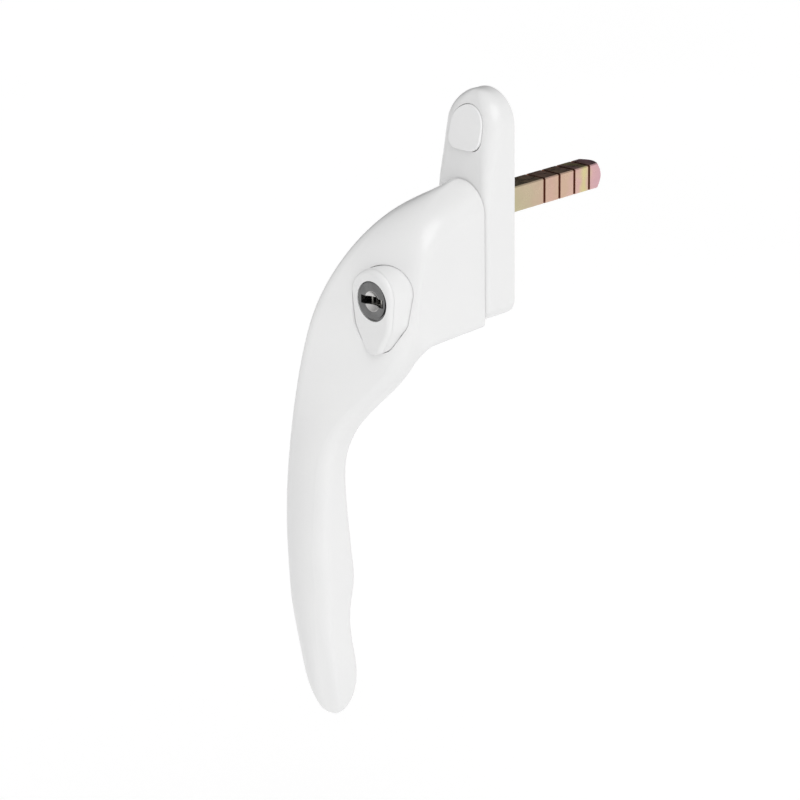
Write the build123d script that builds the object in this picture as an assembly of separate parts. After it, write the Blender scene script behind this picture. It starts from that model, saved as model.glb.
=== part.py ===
from build123d import *
import math
import os

# Cranked tilt turn window handle, left hand, with a push button lock.
# Millimetres. Origin on the spindle axis at the rear mounting face of the backplate.
# +X right as seen from the room, +Y into the window along the spindle, +Z up. The grip hangs towards -Z.

# ---- driving dimensions ----
SCREW_CENTRES = 43.0        # between the two fixing screws, spindle axis midway
SCREW_HOLE_R = 2.6
SCREW_HEAD_R = 4.3
SCREW_SEAT_Y = -3.2         # floor of the screw head recess

PLATE_HALF_WIDTH = 9.2
PLATE_TOP = 31.2
PLATE_BOTTOM = -29.4
PLATE_DEPTH = 10.5          # at the parting plane with the hub
PLATE_EDGE_R = 1.5          # front edge rounding beside the hub
PLATE_TOP_EDGE_R = 3.9      # the same over the arch
PLATE_CORNER_R = 4.5        # bottom corners, seen from the front

SPINDLE_WIDTH = 7.0
SPINDLE_PROJECTION = 41.0
SPINDLE_INNER_Y = -21.5     # inner end, pinned in the hub
SPINDLE_EDGE = 0.3          # chamfer along the four long edges
SPINDLE_TIP = 1.7           # length of the turned cone at the outer end
SPINDLE_TIP_R = 3.1         # its end radius; it widens at 45 degrees
GROOVE_FIRST_Y = 17.8       # break-off grooves
GROOVE_PITCH = 6.0
GROOVE_COUNT = 4
GROOVE_WIDTH = 0.7
GROOVE_DEPTH = 0.4
CROSS_PIN_R = 1.25
CROSS_PIN_Y = -18.0
CROSS_PIN_LENGTH = 13.0

HUB_FACE_Y = -10.65         # underside of the hub, just clear of the plate
SPIGOT_R = 5.7
SPIGOT_KEY_Y = -6.2         # the round spigot ends here and its keyed end begins
SPIGOT_END_Y = -2.0
SPIGOT_FLAT = 4.7           # half the width across the keyed end
RING_BORE_R = 6.3
RING_OUTER_R = 7.3
RING_TOP_Y = -13.1
RING_SLOT_FLOOR_Y = -10.6
HUB_RECESS_R = 7.45         # clears the lock ring
HUB_RECESS_Y = -13.4
RUNNING_FIT = 0.06

POCKET_HALF_X = 7.9         # rear pocket of the plate
POCKET_HALF_Z = 9.6
POCKET_Y = -7.0
WASHER_Y = (-6.7, -6.2)
CAM_Y = (-6.0, -3.1)
CAM_HALF = 6.2
CAM_CORNER_R = 7.7
LEAF_THICK = 0.5
CIRCLIP_Y = (-2.85, -2.25)
CIRCLIP_SLACK = 0.05        # each side of the clip in its groove
CIRCLIP_INNER_R = SPIGOT_R - 0.5

COVER_HALF_X = 8.3
COVER_HALF_Z = 12.5
COVER_THICK = 0.8
COVER_BORE_R = 5.4
RIVET_R = 0.75
RIVET_DEPTH_Y = -3.9

LOCK_Z = -17.2              # lock axis, in the plane X = 0
BUTTON_FACE_Y = -43.5
BUTTON_EDGE_R = 1.1
BUTTON_R = 7.2              # upper rounding of the outline
BUTTON_TOP_Z = -16.0        # its centre, a little above the lock
BUTTON_WAIST_R = 6.5        # the outline bulges a little between the lock and the tip
BUTTON_WAIST_Z = -22.2
BUTTON_TIP_R = 3.6
BUTTON_TIP_Z = -28.0        # centre of the lower tip rounding
BUTTON_MID_TIP_Z = -25.6    # the same on the middle step
BUTTON_STEM_R = 7.0         # round rear step, on the lock axis
BUTTON_STEP_Y = (-38.2, -35.4, -29.2)   # rear faces of the three steps
BUTTON_GAP = 0.15
BUTTON_STROKE = 3.0
SLEEVE_R = 5.75
SLEEVE_RECESS = 0.6         # the sleeve lies this far below the button face, behind its lip
SLEEVE_END_Y = -33.4
BARREL_BORE_R = 5.35
BARREL_R = 5.28
BARREL_FACE_Y = -43.4
BARREL_REAR_Y = -33.6
DISH_R = 4.0                # ball-end dish in the barrel face
DISH_DEPTH = 1.0
KEYWAY_HALF_X = 4.0
KEYWAY_HALF_Z = 1.1
CRESCENT_R = 5.1            # round land on the barrel face, set off centre by this much in X and Z
CRESCENT_OFFSET = 0.35
CRESCENT_DEPTH = 0.5
KEYWAY_FLOOR_Y = -35.5
WAFER_COUNT = 4
WAFER_FIRST_Y = -41.4
WAFER_PITCH = 1.5
WAFER_THICK = 0.44
WAFER_HALF_X = 1.9
WAFER_Z = (-4.6, 4.3)       # from the lock axis
WAFER_SLOT_HALF_Z = 4.8
WAFER_WINDOW = (1.4, 1.0)   # half width and half height

TAIL_R = 2.0                # barrel tail through the floor of the button
TAIL_END_Y = -31.5
TAIL_GROOVE_R = 1.7
TAIL_CLIP_Y = (-32.38, -31.92)
TAIL_CAM_Y = (-31.5, -30.95)
TAIL_CAM_R = 3.4
PEG_R = 0.6
PEG_END_Y = -29.7
LATCH_TRAVEL = 1.5          # also the eccentricity of the cam peg
LATCH_Y = (-30.75, -29.4)
LATCH_X = (-8.2, 2.3)
LATCH_HALF_Z = 1.7
LATCH_SLOT_HALF_X = 1.1
LATCH_CLEARANCE = 0.2
REAR_RECESS_R = 4.6         # recess in the back of the button, round the tail cam
REAR_RECESS_Y = -32.5

CARRIAGE_HALF_X = 4.5
CARRIAGE_FRONT_Y = BUTTON_STEP_Y[2]
CARRIAGE_REAR_Y = -26.8
CARRIAGE_Z = (-23.2, -5.7)
CAVITY_FRONT_Y = -31.4
CAVITY_CLEARANCE = 0.4      # round the carriage on the other sides
PIN_R = 1.15
PIN_Z = -7.1
PIN_HEAD_Y = -28.2
PIN_TIP_Y = -13.8
STOP_SCREW_X = 3.1
STOP_SCREW_Z = -8.0
STOP_SCREW_R = 0.8
STOP_HEAD_R = 1.3
STOP_HEAD_Y = (-30.6, CARRIAGE_FRONT_Y - 0.05)
STOP_SCREW_END_Y = -17.5
SPRING_BORE_R = 2.6
SPRING_SEAT_Y = -12.4

CAP_HALF_WIDTH = 5.6
CAP_ARCH_Z = 22.0
CAP_BOTTOM_Z = 16.0
CAP_FOOT_R = 3.2
CAP_SEAT_Y = -5.6
CAP_GAP = 0.15
CAP_PROUD = 0.15            # over the plate at the top of the cap
CAP_TILT = 3.2              # degrees, lifts the foot clear as a nail grip
CAP_EDGE_R = 0.3

FAR = 80.0                  # runs a cutter well clear of the part


# ---- helpers ----
def cylinder_y(radius, y_start, y_end, x=0.0, z=0.0):
    """A round bar along Y between two depths."""
    low, high = sorted((y_start, y_end))
    bar = Cylinder(radius, high - low, align=(Align.CENTER, Align.CENTER, Align.MIN))
    return Pos(x, high, z) * Rot(90, 0, 0) * bar


def block(x_range, y_range, z_range):
    """A box given by its two limits along each axis."""
    low = [min(r) for r in (x_range, y_range, z_range)]
    size = [abs(r[1] - r[0]) for r in (x_range, y_range, z_range)]
    return Pos(*low) * Box(*size, align=(Align.MIN, Align.MIN, Align.MIN))


def tube_y(outer, inner, y_start, y_end, x=0.0, z=0.0):
    """A ring or sleeve along Y."""
    return cylinder_y(outer, y_start, y_end, x, z) - cylinder_y(inner, y_start - 1, y_end + 1, x, z)


def extrude_y(sketch, y_start, y_end):
    """A front-view outline, drawn with X to the right and Z up, extruded along Y between two depths."""
    low, high = sorted((y_start, y_end))
    return extrude(Plane((0, high, 0), x_dir=(1, 0, 0), z_dir=(0, -1, 0)) * sketch, amount=high - low)


def coil(radius, wire_radius, length, turns):
    """A compression spring along +Z from the origin."""
    pitch = (length - 2 * wire_radius) / turns
    path = Helix(pitch, length - 2 * wire_radius, radius)
    profile = Plane(path @ 0, z_dir=path % 0) * Circle(wire_radius)
    return Pos(0, 0, wire_radius) * sweep(profile, path=path)


def side_of_section(start, end, trims, outward, crown):
    """One bowed side of a section: its ends, middle and end tangents, with the corners trimmed off."""
    along = (end - start).normalized()
    first = start + along * trims[0]
    last = end - along * trims[1]
    normal = (outward - along * outward.dot(along)).normalized()
    slope = 2 * math.atan(2 * crown / (last - first).length)
    rise = normal * math.sin(slope)
    run = along * math.cos(slope)
    return first, (first + last) * 0.5 + normal * crown, last, run + rise, run - rise


def section(corners, radii, crowns):
    """A closed four-sided section with rounded corners. Every side and corner is its own edge."""
    points = [Vector(*corner) for corner in corners]
    centre = (points[0] + points[1] + points[2] + points[3]) * 0.25
    sides = []
    for k in range(4):
        start, end = points[k], points[(k + 1) % 4]
        trims = (radii[k], radii[(k + 1) % 4])
        sides.append(side_of_section(start, end, trims, (start + end) * 0.5 - centre, crowns[k]))
    edges = []
    for k in range(4):
        first, middle, last, _, tangent_out = sides[k]
        next_first, _, _, tangent_in, _ = sides[(k + 1) % 4]
        pull = 0.55 * radii[(k + 1) % 4]
        edges.append(ThreePointArc(first, middle, last) if crowns[k] else Line(first, last))
        edges.append(Bezier(last, last + tangent_out * pull, next_first - tangent_in * pull, next_first))
    return Wire(edges)


def shield(grow, tip_z):
    """The button outline: a circle round the lock drawn down through a slight bulge to a rounded tip."""
    circles = Pos(0, BUTTON_TOP_Z) * Circle(BUTTON_R + grow)
    circles += Pos(0, tip_z) * Circle(BUTTON_TIP_R + grow)
    circles += Pos(0, BUTTON_WAIST_Z) * Circle(BUTTON_WAIST_R + grow)
    return make_hull(circles.edges())


# ---- backplate and what is fixed to it ----
SQUARE = (0, 0, 0, 0)       # crowns of a section with flat sides


def plate_body():
    """Lofted up the height: square-edged beside the hub, falling back and rounder towards the top."""
    arch_z = PLATE_TOP - PLATE_HALF_WIDTH
    corner_z = PLATE_BOTTOM + PLATE_CORNER_R
    levels = []
    for angle in (0, 12, 30, 50, 70, 90):
        rise = PLATE_CORNER_R * (1 - math.cos(math.radians(angle)))
        inset = PLATE_CORNER_R * (1 - math.sin(math.radians(angle)))
        drop = PLATE_EDGE_R - math.sqrt(PLATE_EDGE_R ** 2 - max(PLATE_EDGE_R - rise, 0) ** 2)
        levels.append((PLATE_BOTTOM + rise, PLATE_HALF_WIDTH - inset, PLATE_DEPTH - drop, PLATE_EDGE_R))
    for step in (1.5, 4.0, 8.0, 14.0):
        levels.append((corner_z + step, PLATE_HALF_WIDTH, PLATE_DEPTH, PLATE_EDGE_R))
    for z, depth, edge in ((0, PLATE_DEPTH, 1.6), (8, 10.4, 2.4), (14, 9.6, 3.3), (19, 8.85, 3.7)):
        levels.append((z, PLATE_HALF_WIDTH, depth, edge))
    arch_depths = ((0, 8.3), (8, 8.1), (20, 7.7), (38, 6.95), (55, 6.05), (70, 5.0), (81, 4.0), (87, 3.2))
    for angle, depth in arch_depths:
        half = PLATE_HALF_WIDTH * math.cos(math.radians(angle))
        z = arch_z + PLATE_HALF_WIDTH * math.sin(math.radians(angle))
        levels.append((z, half, depth, min(PLATE_TOP_EDGE_R, 0.75 * half, 0.6 * depth)))
    wires = []
    for z, half, depth, edge in levels:
        corners = [(-half, -depth, z), (half, -depth, z), (half, 1, z), (-half, 1, z)]
        wires.append(section(corners, (edge, edge, 0.12, 0.12), SQUARE))
    return Solid.make_loft(wires) - block((-FAR, FAR), (0, FAR), (-FAR, FAR))


def cap_outline(grow):
    """Thumbnail outline of the screw cap: arched top, flat foot with rounded corners."""
    half = CAP_HALF_WIDTH + grow
    foot_z = CAP_BOTTOM_Z - grow
    foot = Pos(0, (CAP_ARCH_Z + foot_z) / 2) * Rectangle(2 * half, CAP_ARCH_Z - foot_z)
    foot = fillet(foot.vertices().group_by(Axis.Y)[0], CAP_FOOT_R)
    return foot + Pos(0, CAP_ARCH_Z) * Circle(half)


def cover_outline(grow):
    return RectangleRounded(2 * (COVER_HALF_X + grow), 2 * (COVER_HALF_Z + grow), 1.2)


def rivet_places():
    return [(x, z) for x in (-6.2, 6.2) for z in (-11.0, 11.0)]


def backplate(body):
    plate = body - extrude_y(cap_outline(CAP_GAP), CAP_SEAT_Y, -FAR)
    for z in (-SCREW_CENTRES / 2, SCREW_CENTRES / 2):
        plate -= cylinder_y(SCREW_HOLE_R, -FAR, FAR, 0, z)
        plate -= cylinder_y(SCREW_HEAD_R, SCREW_SEAT_Y, -FAR, 0, z)
    plate -= cylinder_y(RING_OUTER_R, -FAR, FAR)
    plate -= extrude_y(Rectangle(2 * POCKET_HALF_X, 2 * POCKET_HALF_Z), POCKET_Y, FAR)
    plate -= extrude_y(cover_outline(0.1), -COVER_THICK - 0.1, FAR)
    for x, z in rivet_places():
        plate -= cylinder_y(RIVET_R + 0.05, RIVET_DEPTH_Y - 0.1, FAR, x, z)
    return plate


def lock_ring():
    """Castellated steel collar pressed into the plate. The locking pin drops into one of its four slots."""
    ring = tube_y(RING_OUTER_R, RING_BORE_R, RING_TOP_Y, POCKET_Y)
    slot = PIN_R + 0.12
    beyond = RING_OUTER_R + 1
    for half_x, half_z in ((slot, beyond), (beyond, slot)):
        ring -= block((-half_x, half_x), (-FAR, RING_SLOT_FLOOR_Y), (-half_z, half_z))
    return ring


def hub_bush():
    return tube_y(RING_BORE_R, SPIGOT_R + RUNNING_FIT, RING_SLOT_FLOOR_Y + 0.2, POCKET_Y + 0.1)


def rear_cover():
    cover = extrude_y(cover_outline(0), -COVER_THICK, 0)
    cover -= cylinder_y(COVER_BORE_R, -FAR, FAR)
    for x, z in rivet_places():
        cover -= cylinder_y(RIVET_R, -FAR, FAR, x, z)
    return cover


def rear_cover_rivets():
    return Compound([cylinder_y(RIVET_R, RIVET_DEPTH_Y, -0.02, x, z) for x, z in rivet_places()])


def detent_springs():
    """Two leaf springs, one against the upper and one against the lower flat of the cam."""
    half_length = POCKET_HALF_X - 0.4
    leaves = []
    for side in (1, -1):
        z = side * (CAM_HALF + 0.05)
        leaves.append(block((-half_length, half_length), (-5.6, -3.6), (z, z + side * LEAF_THICK)))
    return Compound(leaves)


def screw_cap(body):
    """Cap that follows the plate's surface, proudest at its foot, with two snap legs behind it."""
    top = CAP_ARCH_Z + CAP_HALF_WIDTH
    lifted = Pos(0, -CAP_PROUD, top) * Rot(-CAP_TILT, 0, 0) * Pos(0, 0, -top) * body
    cap = extrude_y(cap_outline(0), CAP_SEAT_Y - 0.2, -FAR) & lifted
    for x in (-3.2, 2.2):
        cap += block((x, x + 1.0), (CAP_SEAT_Y - 0.4, -3.8), (20.0, 23.0))
    rim = cap.faces().sort_by(Axis.Y)[0].edges()
    return fillet(rim, CAP_EDGE_R)


# ---- handle ----
# Each station: front-left, front-right, back-right and back-left corners, corner radii and side crowns.
# The sections fan round the inside corner under the hub, from the plate to level cuts of the grip.
LEVER_STATIONS = [
    ((-8.5, HUB_FACE_Y, 8.5), (8.5, HUB_FACE_Y, 8.5), (8.5, HUB_FACE_Y, -30.6), (-8.5, HUB_FACE_Y, -30.6),
     (8.3, 8.3, 1.6, 1.6), SQUARE),
    ((-8.9, -18, 7.6), (8.5, -18, 7.2), (8.5, -18, -30.9), (-8.9, -18, -30.9),
     (7.8, 7.5, 1.8, 1.8), (0.2, 0, 0, 0)),
    ((-10.1, -27.4, 4.8), (8.5, -25.5, 4), (8.5, -24, -31.2), (-9.8, -25, -31.2),
     (6.8, 6.2, 2, 2), (0.4, 0, 0, 0)),
    ((-12.2, -36.6, -1.2), (8.6, -31.5, -1.4), (8.4, -28, -31.5), (-11.4, -30.5, -31.5),
     (5.5, 5, 2.2, 2.2), (0.6, 0, 0, 0)),
    ((-15, -44, -10), (8.6, -34.8, -10.2), (8, -30, -32.2), (-14, -34, -33),
     (4.5, 3.8, 2.5, 2.5), (0.7, 0, 0, 0)),
    ((-17.8, -48.9, -20.3), (8.4, -36, -21), (6.8, -31.2, -34), (-17, -37, -35),
     (4, 3.2, 2.8, 2.8), (0.7, 0, 0, 0)),
    ((-20.6, -50.9, -32), (6, -38.2, -32.5), (3.2, -32, -38.5), (-20, -39, -40),
     (3.6, 2.8, 2.8, 2.8), (0.6, 0, 0, 0)),
    ((-23.5, -51.3, -44), (-1.5, -43, -44), (-3.3, -35, -47), (-23, -39.5, -48),
     (3.4, 2.6, 2.8, 2.8), (0.6, 0, 0.3, 0)),
    ((-26, -51.4, -57), (-10.4, -48.8, -57), (-10.6, -39.6, -58.5), (-25.6, -41.5, -58.5),
     (3.2, 2.6, 3, 3), (0.6, 0, 0.5, 0)),
    ((-27.4, -51.8, -69), (-12.6, -50.6, -69), (-12.8, -40.3, -70), (-27.1, -41.5, -70),
     (3.2, 2.8, 3.2, 3.2), (0.6, 0, 0.6, 0)),
    ((-27.9, -52.4, -82), (-13, -51.4, -82), (-13, -39.2, -82.5), (-27.7, -40.5, -82.5),
     (3.3, 3, 3.4, 3.4), (0.7, 0, 0.7, 0)),
    ((-27.8, -52.5, -95), (-13.2, -51.5, -95), (-13.2, -37.6, -95), (-27.5, -38.8, -95),
     (3.5, 3.2, 3.6, 3.6), (0.7, 0, 0.7, 0)),
    ((-27.2, -52.1, -109), (-13.4, -51.2, -109), (-13.4, -38.7, -109), (-26.9, -39.8, -109),
     (3.6, 3.4, 3.6, 3.6), (0.7, 0, 0.7, 0)),
    ((-26.4, -51, -120), (-13.5, -50.2, -120), (-13.5, -38, -119.5), (-26.2, -39, -119.5),
     (3.8, 3.6, 3.6, 3.6), (0.7, 0, 0.7, 0)),
    ((-25.6, -49.8, -129.5), (-13.9, -49, -129.5), (-13.9, -36.4, -128.5), (-25.3, -37.2, -128.5),
     (3.8, 3.6, 3.6, 3.6), (0.7, 0, 0.7, 0)),
    ((-24.2, -47.6, -136.5), (-14.9, -47, -136.5), (-14.9, -37.2, -135), (-24, -37.8, -135),
     (3, 3, 3, 3), (0.5, 0, 0.5, 0)),
    ((-22.3, -45, -140.2), (-16.6, -44.6, -140.2), (-16.6, -39.6, -139.4), (-22.1, -40, -139.4),
     (1.8, 1.8, 1.8, 1.8), (0.2, 0, 0.2, 0)),
    ((-20.6, -43.4, -141.2), (-18.2, -43.2, -141.2), (-18.2, -41.6, -141.2), (-20.6, -41.8, -141.2),
     (0.6, 0.6, 0.6, 0.6), SQUARE),
]


def keyed_end():
    """Round spigot section with four flats."""
    return Circle(SPIGOT_R) & Rectangle(2 * SPIGOT_FLAT, 2 * SPIGOT_FLAT)


def cross_pin(length):
    return Pos(0, CROSS_PIN_Y, 0) * Rot(0, 90, 0) * Cylinder(CROSS_PIN_R, length)


def button_steps(grow, front_y, setback):
    """The three steps of the button, or of its pocket when grown: shield, shorter shield, round."""
    steps = extrude_y(shield(grow, BUTTON_TIP_Z), front_y, BUTTON_STEP_Y[0] + setback)
    steps += extrude_y(shield(grow, BUTTON_MID_TIP_Z), front_y + 1, BUTTON_STEP_Y[1] + setback)
    steps += cylinder_y(BUTTON_STEM_R + grow, front_y + 2, BUTTON_STEP_Y[2] + setback, 0, LOCK_Z)
    return steps


def button_pocket():
    return button_steps(BUTTON_GAP, -FAR, BUTTON_STROKE + LATCH_CLEARANCE)


def carriage_cavity():
    """Room for the carriage, the heads of its stop screws and its stroke."""
    half = CARRIAGE_HALF_X + CAVITY_CLEARANCE
    floor = CARRIAGE_REAR_Y + BUTTON_STROKE + LATCH_CLEARANCE
    low, high = CARRIAGE_Z
    return block((-half, half), (CAVITY_FRONT_Y, floor), (low - CAVITY_CLEARANCE, high + CAVITY_CLEARANCE))


def latch_keeper():
    """Slot in the wall of the button pocket for the tip of the latch, as long as the button's stroke."""
    half = LATCH_HALF_Z + LATCH_CLEARANCE
    rear = LATCH_Y[1] + BUTTON_STROKE + LATCH_CLEARANCE
    front = LATCH_Y[0] - LATCH_CLEARANCE
    return block((LATCH_X[0] - 0.3, -6.5), (front, rear), (LOCK_Z - half, LOCK_Z + half))


def handle_lever():
    lever = Solid.make_loft([section(station[:4], station[4], station[5]) for station in LEVER_STATIONS])
    lever -= cylinder_y(HUB_RECESS_R, HUB_RECESS_Y, FAR)
    lever += cylinder_y(SPIGOT_R, HUB_RECESS_Y - 0.5, SPIGOT_KEY_Y)
    lever += extrude_y(keyed_end(), SPIGOT_KEY_Y - 0.1, SPIGOT_END_Y)
    groove = (CIRCLIP_Y[0] - CIRCLIP_SLACK, CIRCLIP_Y[1] + CIRCLIP_SLACK)
    lever -= tube_y(SPIGOT_R + 1, CIRCLIP_INNER_R, *groove)
    socket = Rectangle(SPINDLE_WIDTH + RUNNING_FIT, SPINDLE_WIDTH + RUNNING_FIT)
    lever -= extrude_y(socket, SPINDLE_INNER_Y - 0.1, FAR)
    lever -= cross_pin(CROSS_PIN_LENGTH + 0.2)
    lever -= button_pocket()
    lever -= carriage_cavity()
    lever -= latch_keeper()
    lever -= cylinder_y(PIN_R + 0.08, CARRIAGE_REAR_Y, FAR, 0, PIN_Z)
    lever -= cylinder_y(SPRING_BORE_R, CARRIAGE_REAR_Y, SPRING_SEAT_Y, 0, LOCK_Z)
    for x in (-STOP_SCREW_X, STOP_SCREW_X):
        lever -= cylinder_y(STOP_SCREW_R, CARRIAGE_REAR_Y, STOP_SCREW_END_Y, x, STOP_SCREW_Z)
    return lever


def spindle():
    bar = Rectangle(SPINDLE_WIDTH, SPINDLE_WIDTH)
    bar = chamfer(bar.vertices(), SPINDLE_EDGE)
    outer_r = SPINDLE_TIP_R + SPINDLE_TIP
    turned = Pos(0, SPINDLE_PROJECTION - SPINDLE_TIP / 2, 0) * Rot(-90, 0, 0)
    turned = turned * Cone(outer_r, SPINDLE_TIP_R, SPINDLE_TIP)
    turned += cylinder_y(outer_r, SPINDLE_INNER_Y, SPINDLE_PROJECTION - SPINDLE_TIP)
    rod = extrude_y(bar, SPINDLE_INNER_Y, SPINDLE_PROJECTION) & turned
    core = SPINDLE_WIDTH - 2 * GROOVE_DEPTH
    groove = Rectangle(2 * SPINDLE_WIDTH, 2 * SPINDLE_WIDTH) - Rectangle(core, core)
    for k in range(GROOVE_COUNT):
        y = GROOVE_FIRST_Y + k * GROOVE_PITCH
        rod -= extrude_y(groove, y - GROOVE_WIDTH / 2, y + GROOVE_WIDTH / 2)
    return rod - cross_pin(FAR)


def spindle_cross_pin():
    return cross_pin(CROSS_PIN_LENGTH)


def detent_cam():
    """Square cam keyed on the spigot. Its flats rest against the leaf springs every quarter turn."""
    outline = Rectangle(2 * CAM_HALF, 2 * CAM_HALF) & Circle(CAM_CORNER_R)
    return extrude_y(outline - keyed_end(), *CAM_Y)


def wave_washer():
    return tube_y(CAM_CORNER_R - 0.5, SPIGOT_R + 0.1, *WASHER_Y)


def retaining_ring():
    ring = tube_y(CAM_CORNER_R - 0.3, CIRCLIP_INNER_R, *CIRCLIP_Y)
    return ring - block((-2.2, 2.2), (-FAR, 0), (4, 9))


# ---- push button and lock ----
def lock_button():
    body = button_steps(0, BUTTON_FACE_Y, 0)
    body = fillet(body.faces().sort_by(Axis.Y)[0].edges(), BUTTON_EDGE_R)
    body -= cylinder_y(BARREL_BORE_R, -FAR, SLEEVE_END_Y, 0, LOCK_Z)
    body -= cylinder_y(SLEEVE_R, BUTTON_FACE_Y + SLEEVE_RECESS, SLEEVE_END_Y, 0, LOCK_Z)
    body -= cylinder_y(TAIL_R + RUNNING_FIT, -FAR, FAR, 0, LOCK_Z)
    body -= cylinder_y(REAR_RECESS_R, REAR_RECESS_Y, FAR, 0, LOCK_Z)
    half = LATCH_HALF_Z + LATCH_CLEARANCE
    channel = (LATCH_Y[0] - LATCH_CLEARANCE, FAR)
    return body - block((-BUTTON_R - 1, 0), channel, (LOCK_Z - half, LOCK_Z + half))


def barrel_sleeve():
    return tube_y(SLEEVE_R, BARREL_BORE_R, BUTTON_FACE_Y + SLEEVE_RECESS, SLEEVE_END_Y, 0, LOCK_Z)


def button_carriage():
    """Flat carriage behind the button. It carries the locking pin up beside the spindle."""
    carriage = block((-CARRIAGE_HALF_X, CARRIAGE_HALF_X), (CARRIAGE_FRONT_Y, CARRIAGE_REAR_Y), CARRIAGE_Z)
    carriage -= cylinder_y(PIN_R, PIN_HEAD_Y, FAR, 0, PIN_Z)
    for x in (-STOP_SCREW_X, STOP_SCREW_X):
        carriage -= cylinder_y(STOP_SCREW_R + RUNNING_FIT, -FAR, FAR, x, STOP_SCREW_Z)
    return carriage


def locking_pin():
    pin = cylinder_y(PIN_R, PIN_HEAD_Y, PIN_TIP_Y, 0, PIN_Z)
    return chamfer(pin.faces().sort_by(Axis.Y)[-1].edges(), 0.3)


def carriage_stop_screws():
    screws = []
    for x in (-STOP_SCREW_X, STOP_SCREW_X):
        head = cylinder_y(STOP_HEAD_R, *STOP_HEAD_Y, x, STOP_SCREW_Z)
        shank = cylinder_y(STOP_SCREW_R, STOP_HEAD_Y[0] + 0.5, STOP_SCREW_END_Y - 0.1, x, STOP_SCREW_Z)
        screws.append(head + shank)
    return Compound(screws)


def button_return_spring():
    spring = coil(1.9, 0.3, SPRING_SEAT_Y - CARRIAGE_REAR_Y - 0.1, 7)
    return Pos(0, SPRING_SEAT_Y - 0.05, LOCK_Z) * Rot(90, 0, 0) * spring


def wafer_places():
    return [WAFER_FIRST_Y + k * WAFER_PITCH for k in range(WAFER_COUNT)]


def lock_barrel():
    barrel = cylinder_y(BARREL_R, BARREL_FACE_Y, BARREL_REAR_Y, 0, LOCK_Z)
    barrel = chamfer(barrel.faces().sort_by(Axis.Y)[0].edges(), 0.25)
    land = cylinder_y(CRESCENT_R, -FAR, FAR, -CRESCENT_OFFSET, LOCK_Z + CRESCENT_OFFSET)
    barrel -= cylinder_y(BARREL_R + 1, -FAR, BARREL_FACE_Y + CRESCENT_DEPTH, 0, LOCK_Z) - land
    barrel -= Pos(0, BARREL_FACE_Y - DISH_R + DISH_DEPTH, LOCK_Z) * Sphere(DISH_R)
    barrel -= block((-KEYWAY_HALF_X, KEYWAY_HALF_X), (-FAR, KEYWAY_FLOOR_Y),
                    (LOCK_Z - KEYWAY_HALF_Z, LOCK_Z + KEYWAY_HALF_Z))
    half_x = WAFER_HALF_X + 0.1
    half_y = WAFER_THICK / 2 + 0.08
    for y in wafer_places():
        barrel -= block((-half_x, half_x), (y - half_y, y + half_y),
                        (LOCK_Z - WAFER_SLOT_HALF_Z, LOCK_Z + WAFER_SLOT_HALF_Z))
    barrel += cylinder_y(TAIL_R, BARREL_REAR_Y - 0.5, TAIL_END_Y, 0, LOCK_Z)
    groove = (TAIL_CLIP_Y[0] - 0.02, TAIL_CLIP_Y[1] + 0.02)
    return barrel - tube_y(TAIL_R + 1, TAIL_GROOVE_R, *groove, 0, LOCK_Z)


def barrel_clip():
    clip = tube_y(TAIL_CAM_R, TAIL_GROOVE_R, *TAIL_CLIP_Y, 0, LOCK_Z)
    return clip - block((-1.2, 1.2), (-FAR, 0), (LOCK_Z - 5, LOCK_Z))


def tail_cam():
    """Disc riveted to the barrel's tail, with an eccentric peg in the slot of the latch."""
    disc = cylinder_y(TAIL_CAM_R, *TAIL_CAM_Y, 0, LOCK_Z)
    return disc + cylinder_y(PEG_R, TAIL_CAM_Y[0], PEG_END_Y, 0, LOCK_Z + LATCH_TRAVEL)


def latch_slide():
    """Slide drawn in by the peg of the tail cam. Its tip rides in a slot of the hub."""
    slot_top = LATCH_TRAVEL + PEG_R + 0.25
    slot_bottom = -PEG_R - 0.3
    eye_half = LATCH_SLOT_HALF_X + 0.6
    slide = block(LATCH_X, LATCH_Y, (LOCK_Z - LATCH_HALF_Z, LOCK_Z + LATCH_HALF_Z))
    slide += block((-eye_half, eye_half), LATCH_Y, (LOCK_Z, LOCK_Z + slot_top + 0.45))
    slot = (LOCK_Z + slot_bottom, LOCK_Z + slot_top)
    return slide - block((-LATCH_SLOT_HALF_X, LATCH_SLOT_HALF_X), (-FAR, FAR), slot)


def latch_spring():
    start = LATCH_X[1] + 0.05
    length = REAR_RECESS_R - 0.1 - start
    return Pos(start, sum(LATCH_Y) / 2, LOCK_Z) * Rot(0, 90, 0) * coil(0.35, 0.12, length, 2.5)


def wafer_tumblers():
    window_x, window_z = WAFER_WINDOW
    wafers = []
    for y in wafer_places():
        thickness = (y - WAFER_THICK / 2, y + WAFER_THICK / 2)
        height = (LOCK_Z + WAFER_Z[0], LOCK_Z + WAFER_Z[1])
        wafer = block((-WAFER_HALF_X, WAFER_HALF_X), thickness, height)
        wafer -= block((-window_x, window_x), (-FAR, 0), (LOCK_Z - window_z, LOCK_Z + window_z))
        wafers.append(wafer)
    return Compound(wafers)


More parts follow.
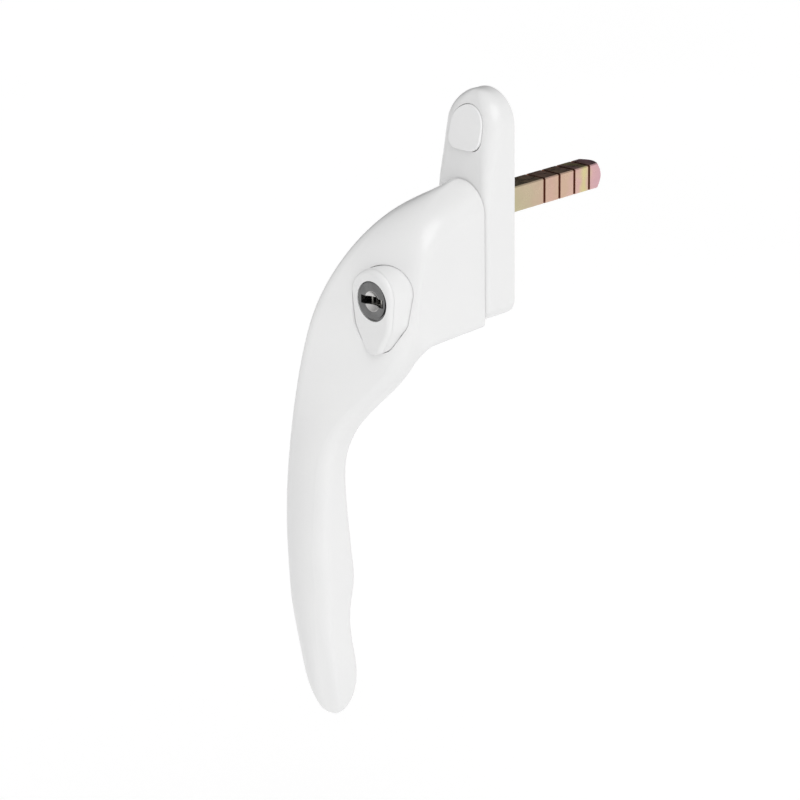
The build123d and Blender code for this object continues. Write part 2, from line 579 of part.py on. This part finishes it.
def main():
    os.makedirs("parts", exist_ok=True)
    body = plate_body()
    nodes = {
        "backplate": backplate(body),
        "lock_ring": lock_ring(),
        "hub_bush": hub_bush(),
        "rear_cover": rear_cover(),
        "rear_cover_rivets": rear_cover_rivets(),
        "detent_springs": detent_springs(),
        "screw_cap": screw_cap(body),
        "handle_lever": handle_lever(),
        "spindle": spindle(),
        "spindle_cross_pin": spindle_cross_pin(),
        "detent_cam": detent_cam(),
        "wave_washer": wave_washer(),
        "retaining_ring": retaining_ring(),
        "carriage_stop_screws": carriage_stop_screws(),
        "button_return_spring": button_return_spring(),
        "lock_button": lock_button(),
        "barrel_sleeve": barrel_sleeve(),
        "button_carriage": button_carriage(),
        "locking_pin": locking_pin(),
        "lock_barrel": lock_barrel(),
        "barrel_clip": barrel_clip(),
        "tail_cam": tail_cam(),
        "latch_slide": latch_slide(),
        "latch_spring": latch_spring(),
        "wafer_tumblers": wafer_tumblers(),
    }
    for name, shape in nodes.items():
        export_step(shape, f"parts/{name}.step")


if __name__ == "__main__":
    main()
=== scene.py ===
import bpy
import math
from mathutils import Matrix, Vector
from mathutils.bvhtree import BVHTree


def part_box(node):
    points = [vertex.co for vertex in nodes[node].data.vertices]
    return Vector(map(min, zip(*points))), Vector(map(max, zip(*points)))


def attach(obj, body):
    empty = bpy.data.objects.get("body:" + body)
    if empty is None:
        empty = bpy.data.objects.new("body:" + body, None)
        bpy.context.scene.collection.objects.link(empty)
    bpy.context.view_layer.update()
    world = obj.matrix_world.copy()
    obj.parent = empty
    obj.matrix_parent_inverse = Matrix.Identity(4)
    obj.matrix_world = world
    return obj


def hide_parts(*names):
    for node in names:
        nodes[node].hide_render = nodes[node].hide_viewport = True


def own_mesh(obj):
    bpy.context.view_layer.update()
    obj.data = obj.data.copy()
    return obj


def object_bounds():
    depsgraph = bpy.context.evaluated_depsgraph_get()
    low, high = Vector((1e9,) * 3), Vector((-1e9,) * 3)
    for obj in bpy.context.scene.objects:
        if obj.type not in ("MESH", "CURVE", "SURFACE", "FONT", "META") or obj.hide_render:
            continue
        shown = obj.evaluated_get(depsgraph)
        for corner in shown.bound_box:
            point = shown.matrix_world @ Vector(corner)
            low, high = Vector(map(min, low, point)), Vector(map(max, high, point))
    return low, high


# Cranked tilt turn window handle: the looks. Metres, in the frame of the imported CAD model.
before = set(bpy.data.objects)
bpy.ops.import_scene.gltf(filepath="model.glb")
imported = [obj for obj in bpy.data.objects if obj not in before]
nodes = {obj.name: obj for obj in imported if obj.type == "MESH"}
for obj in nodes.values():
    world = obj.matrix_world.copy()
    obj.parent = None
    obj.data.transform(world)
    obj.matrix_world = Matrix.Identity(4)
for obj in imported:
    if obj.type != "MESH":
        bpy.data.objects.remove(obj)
cad_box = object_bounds()

MM = 0.001

# ---- push button, as on the CAD part ----
BUTTON_TIP_R = 3.6 * MM
BUTTON_WAIST_R = 6.5 * MM
BUTTON_WAIST_DROP = 6.2 * MM         # below the centre of the upper rounding
CAD_ROUNDING = 1.1 * MM              # of its front edge
DEPTH_TOLERANCE = 0.999              # of that rounding: vertices from here on stay
INSET_TOLERANCE = 1.02               # of that rounding: vertices farther in stay
ROUNDING_SHARE = 0.26                # of the height by which the face stands proud of the lever
ROUNDING_RANGE = (0.25 * MM, 1.7 * MM)
LEVER_LOOK_OUT = 0.6 * MM            # where the lever's surface is read, outside the outline
LEVER_LOOK_FROM = -1.0               # Y from which it is read, well in front of the handle
OUTLINE_STEPS = 360
SMOOTHING_REACH = OUTLINE_STEPS // 16    # steps to each side over which the rounding is averaged

# ---- spindle grooves, as on the CAD part ----
GROOVE_FIRST = 17.8 * MM
GROOVE_PITCH = 6.0 * MM
GROOVE_COUNT = 4
GROOVE_WIDTH = 0.7 * MM
GROOVE_SHADE_LIP = 0.12 * MM               # painted shade along the edge beside each groove
# Dark reddish brown painted into the grooves and their lips: painted shade of the recesses.
GROOVE_SHADE_COLOUR = (0.27, 0.13, 0.09)

# Colour of the chromate film along the spindle: (share of its length, colour).
ZINC_FILM = (
    (0.10, (0.52, 0.48, 0.30)),
    (0.30, (0.56, 0.46, 0.32)),
    (0.48, (0.64, 0.42, 0.34)),
    (0.64, (0.64, 0.45, 0.33)),
    (0.74, (0.68, 0.44, 0.40)),
    (0.80, (0.68, 0.60, 0.30)),
    (0.87, (0.68, 0.42, 0.42)),
    (1.00, (0.65, 0.40, 0.45)),
)

# ---- lock barrel ----
DISH_R = 2.7 * MM                    # dish round the keyway, in the nickel's bright colour; the face round it is painted dark
DISH_COLOUR = (0.62, 0.61, 0.60)
RING_FREQUENCY = 42000.0             # of the turned rings, in radians per metre of radius

SHARP_OVER = math.radians(30)        # edges over this stay sharp
NOISE_MIDDLE = (0.3, 0.7)            # the span that most of a noise's values fill

# ---- camera ----
CAMERA_AZIMUTH = math.radians(45.8)
CAMERA_ELEVATION = math.radians(20.2)
CAMERA_ROLL = math.radians(-1.0)
CAMERA_DISTANCE = 0.650
CAMERA_ASIDE = (-0.0235, -0.0522)    # of the lens from the frame's origin, to the picture's right and up
CAMERA_LENS = 110.9                  # and the sensor, in millimetres
SENSOR_WIDTH = 36.0
CLIP_START = 0.01

# ---- studio ----
FLOOR_DROP = 0.12                    # below the handle's lowest point
FLOOR_SIZE = 12.0
FLOOR_TONES = (0.93, 0.95)
FLOOR_ROUGHNESS = 0.9
FLOOR_GLOW = 0.28
SUN_FROM = Vector((0.64, -0.15, 0.75))
SUN_STRENGTH = 1.0
SUN_SPREAD = math.radians(50)
TENT_TOWARDS = Vector((0.82, -0.56, 0.1))     # the tent's brighter side
TENT_STRENGTH = (0.33, 0.79)
FLAG_TOWARDS = Vector((-0.67, 0.65, 0.36))   # dark panel behind the handle, mirrored in its upper faces
FLAG_EDGE = (0.80, 0.92)                     # cosines between which the panel fades in
FLAG_SHARE = 0.03                            # of the tent's brightness


# Sockets of the colour mix node, which has several of each name.
MIX_FIRST, MIX_SECOND, MIX_RESULT = 6, 7, 2


# ---- node helpers ----
def new_material(name):
    """An empty Principled material. Returns the material, its node tree and its shader."""
    material = bpy.data.materials.new(name)
    material.use_nodes = True
    tree = material.node_tree
    return material, tree, tree.nodes["Principled BSDF"]


def add(tree, kind, **values):
    """A node with its attributes and inputs set by name."""
    node = tree.nodes.new(kind)
    for key, value in values.items():
        if hasattr(node, key):
            setattr(node, key, value)
        else:
            node.inputs[key.replace("_", " ")].default_value = value
    return node


def object_position(tree):
    return add(tree, "ShaderNodeTexCoord").outputs["Object"]


def noise(tree, scale, detail=3.0, roughness=0.5, stretch=None):
    """Noise in the object's own metres. stretch gives a scale for each axis, to draw it out."""
    source = object_position(tree)
    if stretch:
        mapping = add(tree, "ShaderNodeMapping")
        mapping.inputs["Scale"].default_value = stretch
        tree.links.new(source, mapping.inputs["Vector"])
        source = mapping.outputs["Vector"]
    texture = add(tree, "ShaderNodeTexNoise", Scale=scale, Detail=detail, Roughness=roughness)
    tree.links.new(source, texture.inputs["Vector"])
    return texture.outputs["Fac"]


def ramp(tree, source, stops):
    """A colour ramp on a value. stops: (position, colour)."""
    node = add(tree, "ShaderNodeValToRGB")
    elements = node.color_ramp.elements
    while len(elements) < len(stops):
        elements.new(0.5)
    for element, (position, colour) in zip(elements, stops):
        element.position = position
        element.color = (*colour, 1.0)
    tree.links.new(source, node.inputs["Fac"])
    return node.outputs["Color"]


def spread(tree, source, low, high):
    """Maps the middle of a noise onto a range."""
    node = add(tree, "ShaderNodeMapRange")
    node.inputs["From Min"].default_value = NOISE_MIDDLE[0]
    node.inputs["From Max"].default_value = NOISE_MIDDLE[1]
    node.inputs["To Min"].default_value = low
    node.inputs["To Max"].default_value = high
    tree.links.new(source, node.inputs["Value"])
    return node.outputs["Result"]


def bump(tree, shader, height, strength, distance):
    node = add(tree, "ShaderNodeBump", Strength=strength, Distance=distance)
    tree.links.new(height, node.inputs["Height"])
    tree.links.new(node.outputs["Normal"], shader.inputs["Normal"])


def math_node(tree, operation, *values):
    """A math node. Each value is a socket or a number."""
    node = add(tree, "ShaderNodeMath", operation=operation)
    for socket, value in zip(node.inputs, values):
        if isinstance(value, (int, float)):
            socket.default_value = value
        else:
            tree.links.new(value, socket)
    return node.outputs["Value"]


def mix_colour(tree, factor, first, second):
    """Blends two colours, each a socket or a tuple, by a value."""
    node = add(tree, "ShaderNodeMix", data_type="RGBA")
    tree.links.new(factor, node.inputs["Factor"])
    for socket, value in ((node.inputs[MIX_FIRST], first), (node.inputs[MIX_SECOND], second)):
        if isinstance(value, tuple):
            socket.default_value = (*value, 1.0)
        else:
            tree.links.new(value, socket)
    return node.outputs[MIX_RESULT]


def axes(tree):
    """The X, Y and Z sockets of the object's own position."""
    split = add(tree, "ShaderNodeSeparateXYZ")
    tree.links.new(object_position(tree), split.inputs["Vector"])
    return split.outputs


def grey(value):
    return (value, value, value)


# ---- materials ----
def powder_coat(name, tone, peel):
    """Gloss white coat: a faint drift of tone, a soft uneven gloss and fine orange peel."""
    material, tree, shader = new_material(name)
    drift = noise(tree, scale=60.0, detail=1.0)
    light = (tone + 0.005, tone + 0.005, tone + 0.003)
    colour = ramp(tree, drift, ((0.3, grey(tone - 0.006)), (0.7, light)))
    tree.links.new(colour, shader.inputs["Base Color"])
    gloss = noise(tree, scale=90.0, detail=1.0)
    tree.links.new(spread(tree, gloss, low=0.28, high=0.32), shader.inputs["Roughness"])
    bump(tree, shader, noise(tree, scale=1300.0, detail=1.0), strength=peel, distance=0.02 * MM)
    shader.inputs["IOR"].default_value = 1.5
    shader.inputs["Coat Weight"].default_value = 0.25
    shader.inputs["Coat Roughness"].default_value = 0.2
    return material


def moulded_plastic(name, tone, roughness):
    """Matt to gloss moulded plastic with a fine spark-eroded grain."""
    material, tree, shader = new_material(name)
    drift = noise(tree, scale=150.0, detail=2.0)
    colour = ramp(tree, drift, ((0.3, grey(tone - 0.01)), (0.7, grey(tone + 0.005))))
    tree.links.new(colour, shader.inputs["Base Color"])
    gloss = noise(tree, scale=400.0, detail=4.0)
    tree.links.new(spread(tree, gloss, roughness - 0.04, roughness + 0.05), shader.inputs["Roughness"])
    bump(tree, shader, noise(tree, scale=2600.0), strength=0.12, distance=0.03 * MM)
    return material


def turned_metal(name, colour, roughness, stretch=(1, 1, 1), contrast=0.05):
    """Bare metal with fine lines along its machining direction and a little tarnish."""
    material, tree, shader = new_material(name)
    shader.inputs["Metallic"].default_value = 1.0
    light = tuple(min(c * (1 + contrast), 1.0) for c in colour)
    dark = tuple(c * (1 - 2 * contrast) for c in colour)
    tarnish_and_painted_shade = noise(tree, scale=220.0, detail=4.0)
    tree.links.new(ramp(tree, tarnish_and_painted_shade, ((0.35, dark), (0.65, light))), shader.inputs["Base Color"])
    lines = noise(tree, scale=700.0, roughness=0.6, stretch=stretch)
    tree.links.new(spread(tree, lines, roughness - 0.06, roughness + 0.1), shader.inputs["Roughness"])
    bump(tree, shader, lines, strength=0.15, distance=0.03 * MM)
    return material


def yellow_zinc(name):
    """Yellow chromate over zinc, with rainbow patches: olive gold by the plate, rose at the tip, and
    painted shade in the grooves.
    """
    material, tree, shader = new_material(name)
    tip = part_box("spindle")[1].y
    shader.inputs["Metallic"].default_value = 0.95
    depth = axes(tree)["Y"]
    patches = spread(tree, noise(tree, scale=120.0, detail=2.0), low=-0.07, high=0.07)
    shifted = math_node(tree, "ADD", math_node(tree, "DIVIDE", depth, tip), patches)
    film = ramp(tree, shifted, ZINC_FILM)
    # Painted shade in the grooves and along their lips, laid over the chromate film.
    colour = mix_colour(tree, groove_shade_mask(tree, depth), film, GROOVE_SHADE_COLOUR)
    tree.links.new(colour, shader.inputs["Base Color"])
    tree.links.new(spread(tree, noise(tree, scale=500.0), low=0.24, high=0.4), shader.inputs["Roughness"])
    drawn_lines = noise(tree, scale=900.0, roughness=0.6, stretch=(1, 0.15, 1))
    bump(tree, shader, drawn_lines, strength=0.2, distance=0.04 * MM)
    return material


def groove_shade_mask(tree, depth):
    """Where shade is painted: 1 in the break-off grooves and just at their lips, 0 between them."""
    start = GROOVE_FIRST - GROOVE_PITCH / 2
    within = math_node(tree, "MODULO", math_node(tree, "SUBTRACT", depth, start), GROOVE_PITCH)
    off_centre = math_node(tree, "ABSOLUTE", math_node(tree, "SUBTRACT", within, GROOVE_PITCH / 2))
    in_groove = math_node(tree, "LESS_THAN", off_centre, GROOVE_WIDTH / 2 + GROOVE_SHADE_LIP)
    past_first = math_node(tree, "GREATER_THAN", depth, start)
    before_end = math_node(tree, "LESS_THAN", depth, start + GROOVE_COUNT * GROOVE_PITCH)
    return math_node(tree, "MULTIPLY", in_groove, math_node(tree, "MULTIPLY", past_first, before_end))


def lock_nickel(name):
    """Satin nickel with turned rings: its face painted dark, a painted shade for the dark surroundings it
    mirrors, and the dish round the keyway left bright.
    """
    material, tree, shader = new_material(name)
    low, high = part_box("lock_barrel")
    middle = (low + high) / 2
    place = axes(tree)
    across = math_node(tree, "SUBTRACT", place["X"], middle.x)
    above = math_node(tree, "SUBTRACT", place["Z"], middle.z)
    across_squared = math_node(tree, "POWER", across, 2.0)
    above_squared = math_node(tree, "POWER", above, 2.0)
    radius = math_node(tree, "SQRT", math_node(tree, "ADD", across_squared, above_squared))
    dish = math_node(tree, "LESS_THAN", radius, DISH_R)
    # Painted shade: the face is painted dark in place of the dark surroundings that nickel mirrors, with
    # a random mottle.
    tarnish_and_painted_shade = ramp(tree, noise(tree, scale=300.0), ((0.35, grey(0.15)), (0.65, grey(0.19))))
    tree.links.new(mix_colour(tree, dish, tarnish_and_painted_shade, DISH_COLOUR), shader.inputs["Base Color"])
    rings = math_node(tree, "SINE", math_node(tree, "MULTIPLY", radius, RING_FREQUENCY))
    gloss = math_node(tree, "ADD", 0.30, math_node(tree, "MULTIPLY", rings, 0.05))
    tree.links.new(gloss, shader.inputs["Roughness"])
    shader.inputs["Metallic"].default_value = 1.0
    bump(tree, shader, rings, strength=0.08, distance=0.02 * MM)
    return material


def assign(data, material):
    data.materials.clear()
    data.materials.append(material)


def link(name, data):
    """A new object in the scene."""
    made = bpy.data.objects.new(name, data)
    bpy.context.scene.collection.objects.link(made)
    return made


def smooth(data):
    """Smooth shading, with the edges over the limit kept sharp."""
    data.shade_smooth()
    data.set_sharp_from_angle(angle=SHARP_OVER)


def copy_of(name, copy_name):
    """The mesh of a CAD node under a new name."""
    data = nodes[name].data.copy()
    data.name = copy_name
    return data


def dress_nodes():
    """Gives every CAD node its material. Returns the two that the pieces made here share."""
    coat = powder_coat("white_powder_coat", tone=0.80, peel=0.05)
    button_coat = powder_coat("white_button_coat", tone=0.81, peel=0.04)
    cap_plastic = moulded_plastic("white_cap_plastic", tone=0.86, roughness=0.32)
    steel = turned_metal("plain_steel", (0.55, 0.55, 0.56), 0.34)
    spring_steel = turned_metal("spring_steel", (0.42, 0.42, 0.44), 0.28)
    sleeve_nickel = turned_metal("sleeve_nickel", (0.24, 0.24, 0.245), 0.28)
    brass = turned_metal("latch_brass", (0.72, 0.55, 0.25), 0.3, stretch=(1, 1, 0.2))
    wafer_metal = turned_metal("nickel_silver", (0.40, 0.39, 0.36), 0.3, stretch=(1, 1, 0.2))
    die_cast = turned_metal("zinc_casting", (0.5, 0.5, 0.52), 0.5, contrast=0.08)
    looks = {
        coat: ("backplate", "handle_lever"),
        button_coat: ("lock_button",),
        cap_plastic: ("screw_cap",),
        moulded_plastic("acetal", tone=0.72, roughness=0.42): ("hub_bush",),
        yellow_zinc("yellow_zinc"): ("spindle",),
        lock_nickel("lock_nickel"): ("lock_barrel",),
        sleeve_nickel: ("barrel_sleeve",),
        brass: ("latch_slide",),
        wafer_metal: ("wafer_tumblers",),
        die_cast: ("detent_cam", "button_carriage"),
        steel: ("lock_ring", "rear_cover", "rear_cover_rivets", "spindle_cross_pin",
                "carriage_stop_screws", "locking_pin", "tail_cam"),
        spring_steel: ("detent_springs", "wave_washer", "retaining_ring", "button_return_spring",
                       "barrel_clip", "latch_spring"),
    }
    for material, names in looks.items():
        for name in names:
            assign(nodes[name].data, material)
    for node in nodes.values():
        smooth(node.data)
    return button_coat, spring_steel


# ---- push button ----
def outline_circles():
    """The three circles, (centre, radius) in X and Z, whose hull is the button's outline."""
    low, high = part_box("lock_button")
    upper = Vector((0.0, high.z - high.x))
    waist = Vector((0.0, upper.y - BUTTON_WAIST_DROP))
    tip = Vector((0.0, low.z + BUTTON_TIP_R))
    return (upper, high.x), (waist, BUTTON_WAIST_R), (tip, BUTTON_TIP_R)


def outline_places():
    """Normals round the outline, each with its point and how far that is out along the normal."""
    places = []
    circles = outline_circles()
    for k in range(OUTLINE_STEPS):
        turn = 2 * math.pi * k / OUTLINE_STEPS
        normal = Vector((math.cos(turn), math.sin(turn)))
        centre, radius = max(circles, key=lambda circle: circle[0].dot(normal) + circle[1])
        places.append((normal, centre + normal * radius, centre.dot(normal) + radius))
    return places


def edge_roundings(places):
    """The edge's rounding at each place: larger where the face is prouder of the lever, then averaged."""
    lever = nodes["handle_lever"].data
    corners = [vertex.co for vertex in lever.vertices]
    surface_tree = BVHTree.FromPolygons(corners, [face.vertices for face in lever.polygons])
    face_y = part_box("lock_button")[0].y
    roundings = []
    for normal, point, _ in places:
        beside = point + normal * LEVER_LOOK_OUT
        start = Vector((beside.x, LEVER_LOOK_FROM, beside.y))
        surface = surface_tree.ray_cast(start, Vector((0, 1, 0)))[0]
        proud = surface.y - face_y if surface else math.inf
        roundings.append(min(max(ROUNDING_SHARE * proud, ROUNDING_RANGE[0]), ROUNDING_RANGE[1]))
    window = range(-SMOOTHING_REACH, SMOOTHING_REACH + 1)
    return [sum(roundings[(k + j) % OUTLINE_STEPS] for j in window) / len(window)
            for k in range(OUTLINE_STEPS)]


def make_button(coat):
    """The CAD button with its front edge rounded unevenly: barely on the left, broadly on the right."""
    places = outline_places()
    roundings = edge_roundings(places)
    face_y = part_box("lock_button")[0].y
    data = copy_of("lock_button", "button_shield")
    for vertex in data.vertices:
        depth = vertex.co.y - face_y
        if depth > CAD_ROUNDING * DEPTH_TOLERANCE:
            continue
        flat = Vector((vertex.co.x, vertex.co.z))
        inset, nearest = min((reach - flat.dot(normal), k)
                             for k, (normal, _, reach) in enumerate(places))
        if inset > CAD_ROUNDING * INSET_TOLERANCE:
            continue
        scale = roundings[nearest] / CAD_ROUNDING
        flat += places[nearest][0] * (inset - inset * scale)
        vertex.co = (flat.x, face_y + depth * scale, flat.y)
    assign(data, coat)
    smooth(data)
    piece = link("button_shield", data)
    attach(piece, "button")
    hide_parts("lock_button")


def make_spring(name, body, metal):
    """A copy of a CAD spring, with a mesh of its own, on the body that carries it."""
    data = copy_of(name, name + "_coil")
    assign(data, metal)
    piece = link(name + "_coil", data)
    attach(piece, body)
    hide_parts(name)
    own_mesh(piece)


# ---- studio ----
def make_camera():
    """The camera looks down on the handle from the front right, with a slight roll and no shift."""
    a, e, r = CAMERA_AZIMUTH, CAMERA_ELEVATION, CAMERA_ROLL
    back = Vector((math.sin(a) * math.cos(e), -math.cos(a) * math.cos(e), math.sin(e)))
    level_right = Vector((math.cos(a), math.sin(a), 0.0))
    level_up = back.cross(level_right)
    right = level_right * math.cos(r) + level_up * math.sin(r)
    up = level_up * math.cos(r) - level_right * math.sin(r)
    place = back * CAMERA_DISTANCE + right * CAMERA_ASIDE[0] + up * CAMERA_ASIDE[1]
    data = bpy.data.cameras.new("camera")
    data.lens = CAMERA_LENS
    data.sensor_width = SENSOR_WIDTH
    data.clip_start = CLIP_START
    camera = link("camera", data)
    turn = Matrix((right, up, back)).transposed().to_4x4()
    camera.matrix_world = Matrix.Translation(place) @ turn
    bpy.context.scene.camera = camera


def make_sun():
    """One very soft light from the right and above."""
    data = bpy.data.lights.new("soft_sun", "SUN")
    data.energy = SUN_STRENGTH
    data.angle = SUN_SPREAD
    sun = link("soft_sun", data)
    sun.rotation_euler = (-SUN_FROM).to_track_quat("-Z", "Y").to_euler()


def make_world():
    """A pale tent, a little brighter to the right, with one dark panel behind the handle."""
    world = bpy.data.worlds.new("studio")
    bpy.context.scene.world = world
    world.use_nodes = True
    tree = world.node_tree
    towards = add(tree, "ShaderNodeTexCoord").outputs["Generated"]

    def facing(direction, value_from, value_to, result_from, result_to):
        """Fades between two results with the cosine of the angle to a direction."""
        dot = add(tree, "ShaderNodeVectorMath", operation="DOT_PRODUCT")
        dot.inputs[1].default_value = direction.normalized()
        tree.links.new(towards, dot.inputs[0])
        fade = add(tree, "ShaderNodeMapRange", interpolation_type="SMOOTHSTEP")
        for name, value in (("From Min", value_from), ("From Max", value_to),
                            ("To Min", result_from), ("To Max", result_to)):
            fade.inputs[name].default_value = value
        tree.links.new(dot.outputs["Value"], fade.inputs["Value"])
        return fade.outputs["Result"]

    tent = facing(TENT_TOWARDS, -1.0, 1.0, *TENT_STRENGTH)
    panel = facing(FLAG_TOWARDS, *FLAG_EDGE, 1.0, FLAG_SHARE)
    background = tree.nodes["Background"]
    background.inputs["Color"].default_value = (1, 1, 1, 1)
    tree.links.new(math_node(tree, "MULTIPLY", tent, panel), background.inputs["Strength"])


def make_studio():
    """A pale, faintly glowing floor under the tent."""
    lowest = cad_box[0][2]
    bpy.ops.mesh.primitive_plane_add(size=FLOOR_SIZE, location=(0, 0, lowest - FLOOR_DROP))
    floor = bpy.context.object
    floor.name = "floor"
    material, tree, shader = new_material("pale_floor")
    tones = ((0.3, grey(FLOOR_TONES[0])), (0.7, grey(FLOOR_TONES[1])))
    tree.links.new(ramp(tree, noise(tree, scale=2.0), tones), shader.inputs["Base Color"])
    shader.inputs["Roughness"].default_value = FLOOR_ROUGHNESS
    shader.inputs["Emission Color"].default_value = (1, 1, 1, 1)
    shader.inputs["Emission Strength"].default_value = FLOOR_GLOW
    floor.data.materials.append(material)

    make_world()
    make_sun()
    bpy.context.scene.view_settings.view_transform = "Standard"


button_coat, spring_steel = dress_nodes()
make_button(button_coat)
make_spring("button_return_spring", "handle", spring_steel)
make_spring("latch_spring", "button", spring_steel)
make_studio()
make_camera()
